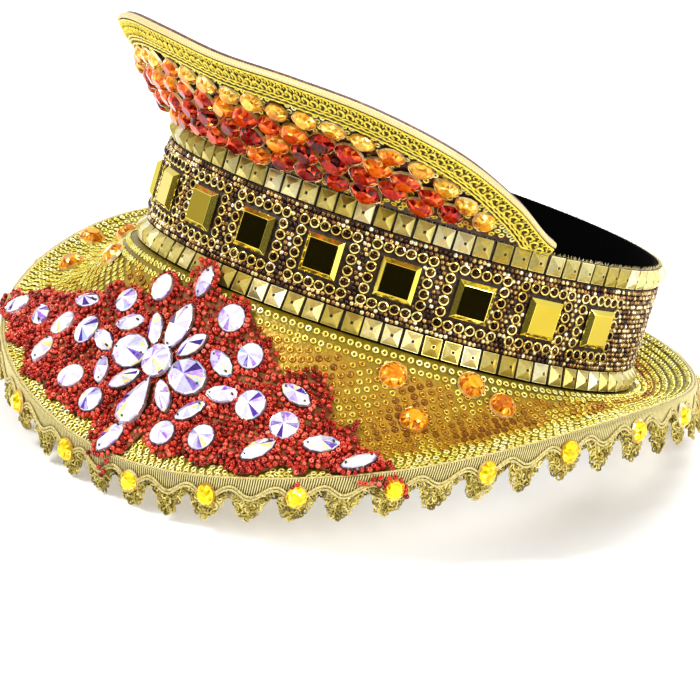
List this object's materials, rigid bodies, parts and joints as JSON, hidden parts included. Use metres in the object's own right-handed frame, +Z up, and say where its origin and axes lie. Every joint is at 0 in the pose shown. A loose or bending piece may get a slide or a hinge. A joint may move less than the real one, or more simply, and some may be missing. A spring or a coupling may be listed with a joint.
{
  "type": "jewelled festival captain's cap",
  "caption": "Jewelled festival captain's cap with an open crown panel, mirror-stone band, sequinned full brim, crystal flower motif and scalloped gold lace.",
  "frame": {"origin": "centre of the underside of the whole cap's box, on the table it lies on", "axes": "+Z up from the table; -Y is the front of the cap, where its motif is; +X is the wearer's left"},
  "size_m": [0.2642, 0.2714, 0.1607],
  "materials": {
    "lining": "matt black felted cloth",
    "bead_net": "bronze and gold beads on a dark net",
    "studs": "pale antique gold",
    "mirror_glass": "gold mirror glass, bevelled",
    "sequin_cloth": "gold ring sequins sewn on cloth",
    "braid": "metallic gold loop braid",
    "piping": "cream satin bias",
    "lace": "olive gold metallic lace with a cream cord",
    "red_glass": "faceted red to amber glass, foiled",
    "amber_glass": "faceted amber glass, foiled",
    "crystal": "clear crystal with a rainbow coating",
    "seed_beads": "glossy coral red seed beads"
  },
  "bodies": {
    "root": {"head_band": "lining", "bead_net": "bead_net", "stud_row_upper": "studs", "stud_row_lower": "studs", "mirror_stone_01": "mirror_glass", "mirror_stone_02": "mirror_glass", "mirror_stone_03": "mirror_glass", "mirror_stone_04": "mirror_glass", "mirror_stone_05": "mirror_glass", "mirror_stone_06": "mirror_glass", "mirror_stone_07": "mirror_glass", "mirror_stone_08": "mirror_glass", "mirror_stone_09": "mirror_glass", "mirror_stone_10": "mirror_glass", "mirror_stone_11": "mirror_glass", "mirror_stone_12": "mirror_glass", "crown_front": "sequin_cloth", "crown_braid": "braid", "crown_piping": "piping", "crown_stone_row_01": "red_glass", "crown_stone_row_02": "red_glass", "crown_stone_row_03": "red_glass", "crown_stone_row_04": "red_glass", "brim": "sequin_cloth", "brim_gimp": "lace", "brim_lace": "lace", "brim_stone_01": "amber_glass", "brim_stone_02": "amber_glass", "brim_stone_03": "amber_glass", "brim_stone_04": "amber_glass", "brim_stone_05": "amber_glass", "brim_stone_06": "amber_glass", "brim_stone_07": "amber_glass", "brim_stone_08": "amber_glass", "motif_plate": "seed_beads", "flower_heart": "crystal", "flower_petal_top": "crystal", "flower_petal_foot": "crystal", "flower_petal_left": "crystal", "flower_petal_right": "crystal", "flower_leaf_left": "crystal", "flower_leaf_right": "crystal", "flower_bud_left": "crystal", "flower_bud_right": "crystal"}
  },
  "joints": []
}
